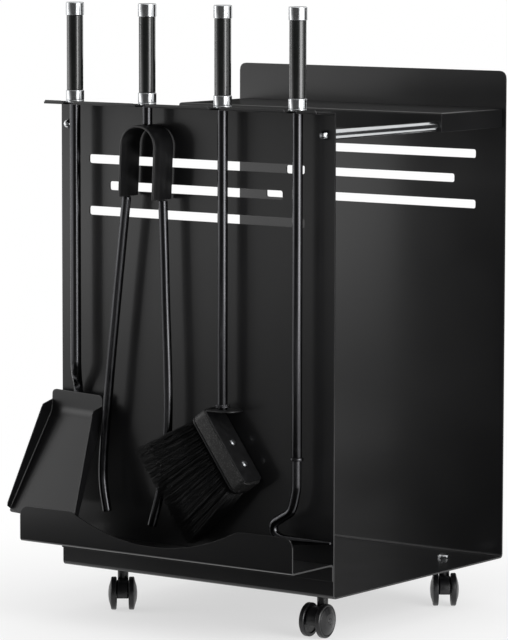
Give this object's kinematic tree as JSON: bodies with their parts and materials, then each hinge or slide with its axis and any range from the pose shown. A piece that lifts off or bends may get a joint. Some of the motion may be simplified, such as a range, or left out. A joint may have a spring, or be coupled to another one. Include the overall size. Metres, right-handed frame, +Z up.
{
  "type": "fireside log cart",
  "caption": "Black sheet-metal log cart on swivel casters, with a small top shelf, and a tool rack and tray holding a shovel, spring tongs, brush and poker",
  "frame": {"origin": "on the ground, under the middle of the whole cart's bounding box", "axes": "+Z up, +X along the tool rack to the right as seen from the tool side, +Y from the tool side to the far wall"},
  "size_m": [0.4418, 0.4426, 0.7345],
  "materials": {
    "powder_coat": "satin black powder coat",
    "chrome": "bright chrome plate",
    "polished_black_steel": "polished black nickel plate",
    "satin_black_steel": "satin black",
    "zinc_steel": "zinc plated",
    "grip_lacquer": "smooth black",
    "caster_plastic": "moulded nylon, satin",
    "block_plastic": "speckled grey, matte",
    "bristle_fibre": "black nylon filament"
  },
  "bodies": {
    "chassis": {"cart_body": "powder_coat", "tool_tray": "powder_coat", "shelf": "powder_coat", "spacer_rod_left": "chrome", "rod_cap_nut_left": "chrome", "shelf_rivet_left": "zinc_steel", "spacer_rod_right": "chrome", "rod_cap_nut_right": "chrome", "shelf_rivet_right": "zinc_steel", "caster_near_left_stem": "zinc_steel", "caster_near_left_nut": "chrome", "caster_near_right_stem": "zinc_steel", "caster_near_right_nut": "chrome", "caster_far_left_stem": "zinc_steel", "caster_far_left_nut": "chrome", "caster_far_right_stem": "zinc_steel", "caster_far_right_nut": "chrome"},
    "caster_near_left": {"caster_near_left_hood": "caster_plastic", "caster_near_left_axle": "zinc_steel"},
    "caster_near_left_left_wheel": {"caster_near_left_wheel_left": "caster_plastic"},
    "caster_near_left_right_wheel": {"caster_near_left_wheel_right": "caster_plastic"},
    "caster_near_right": {"caster_near_right_hood": "caster_plastic", "caster_near_right_axle": "zinc_steel"},
    "caster_near_right_left_wheel": {"caster_near_right_wheel_left": "caster_plastic"},
    "caster_near_right_right_wheel": {"caster_near_right_wheel_right": "caster_plastic"},
    "caster_far_left": {"caster_far_left_hood": "caster_plastic", "caster_far_left_axle": "zinc_steel"},
    "caster_far_left_left_wheel": {"caster_far_left_wheel_left": "caster_plastic"},
    "caster_far_left_right_wheel": {"caster_far_left_wheel_right": "caster_plastic"},
    "caster_far_right": {"caster_far_right_hood": "caster_plastic", "caster_far_right_axle": "zinc_steel"},
    "caster_far_right_left_wheel": {"caster_far_right_wheel_left": "caster_plastic"},
    "caster_far_right_right_wheel": {"caster_far_right_wheel_right": "caster_plastic"},
    "shovel": {"shovel_ferrule": "chrome", "shovel_grip": "grip_lacquer", "shovel_cap": "chrome", "shovel_shaft": "polished_black_steel", "shovel_pan": "powder_coat"},
    "tongs": {"tongs_ferrule": "chrome", "tongs_grip": "grip_lacquer", "tongs_cap": "chrome", "tongs_shaft": "polished_black_steel", "tongs_strap": "satin_black_steel", "tongs_rod_left": "polished_black_steel", "tongs_rod_right": "polished_black_steel"},
    "brush": {"brush_ferrule": "chrome", "brush_grip": "grip_lacquer", "brush_cap": "chrome", "brush_shaft": "polished_black_steel", "brush_collar": "polished_black_steel", "brush_bracket": "satin_black_steel", "brush_block": "block_plastic", "brush_rivet_upper": "chrome", "brush_rivet_lower": "chrome", "brush_bristles": "bristle_fibre"},
    "poker": {"poker_ferrule": "chrome", "poker_grip": "grip_lacquer", "poker_cap": "chrome", "poker_shaft": "polished_black_steel", "poker_hook": "polished_black_steel"}
  },
  "joints": [
    {"name": "caster_near_left_swivel", "type": "hinge", "parent": "chassis", "child": "caster_near_left", "pos_m": [-0.1381, -0.08885, 0.02], "axis": [0, 0, 1], "continuous": true},
    {"name": "caster_near_left_left_spin", "type": "hinge", "parent": "caster_near_left", "child": "caster_near_left_left_wheel", "pos_m": [-0.13098, -0.09851, 0.02], "axis": [0.8049, 0.5934, 0], "continuous": true},
    {"name": "caster_near_left_right_spin", "type": "hinge", "parent": "caster_near_left", "child": "caster_near_left_right_wheel", "pos_m": [-0.13098, -0.09851, 0.02], "axis": [0.8049, 0.5934, 0], "continuous": true},
    {"name": "caster_near_right_swivel", "type": "hinge", "parent": "chassis", "child": "caster_near_right", "pos_m": [0.1589, -0.08885, 0.02], "axis": [0, 0, 1], "continuous": true},
    {"name": "caster_near_right_left_spin", "type": "hinge", "parent": "caster_near_right", "child": "caster_near_right_left_wheel", "pos_m": [0.15994, -0.1008, 0.02], "axis": [0.9962, 0.0872, 0], "continuous": true},
    {"name": "caster_near_right_right_spin", "type": "hinge", "parent": "caster_near_right", "child": "caster_near_right_right_wheel", "pos_m": [0.15994, -0.1008, 0.02], "axis": [0.9962, 0.0872, 0], "continuous": true},
    {"name": "caster_far_left_swivel", "type": "hinge", "parent": "chassis", "child": "caster_far_left", "pos_m": [-0.1381, 0.16715, 0.02], "axis": [0, 0, 1], "continuous": true},
    {"name": "caster_far_left_left_spin", "type": "hinge", "parent": "caster_far_left", "child": "caster_far_left_left_wheel", "pos_m": [-0.13098, 0.15749, 0.02], "axis": [0.8049, 0.5934, 0], "continuous": true},
    {"name": "caster_far_left_right_spin", "type": "hinge", "parent": "caster_far_left", "child": "caster_far_left_right_wheel", "pos_m": [-0.13098, 0.15749, 0.02], "axis": [0.8049, 0.5934, 0], "continuous": true},
    {"name": "caster_far_right_swivel", "type": "hinge", "parent": "chassis", "child": "caster_far_right", "pos_m": [0.1589, 0.16715, 0.02], "axis": [0, 0, 1], "continuous": true},
    {"name": "caster_far_right_left_spin", "type": "hinge", "parent": "caster_far_right", "child": "caster_far_right_left_wheel", "pos_m": [0.16602, 0.15749, 0.02], "axis": [0.8049, 0.5934, 0], "continuous": true},
    {"name": "caster_far_right_right_spin", "type": "hinge", "parent": "caster_far_right", "child": "caster_far_right_right_wheel", "pos_m": [0.16602, 0.15749, 0.02], "axis": [0.8049, 0.5934, 0], "continuous": true},
    {"name": "shovel_lift", "type": "slide", "parent": "chassis", "child": "shovel", "axis": [0, 0, 1], "range_m": [0, 0.018]},
    {"name": "tongs_lift", "type": "slide", "parent": "chassis", "child": "tongs", "axis": [0, 0, 1], "range_m": [0, 0.018]},
    {"name": "brush_lift", "type": "slide", "parent": "chassis", "child": "brush", "axis": [0, 0, 1], "range_m": [0, 0.018]},
    {"name": "poker_lift", "type": "slide", "parent": "chassis", "child": "poker", "axis": [0, 0, 1], "range_m": [0, 0.018]}
  ]
}
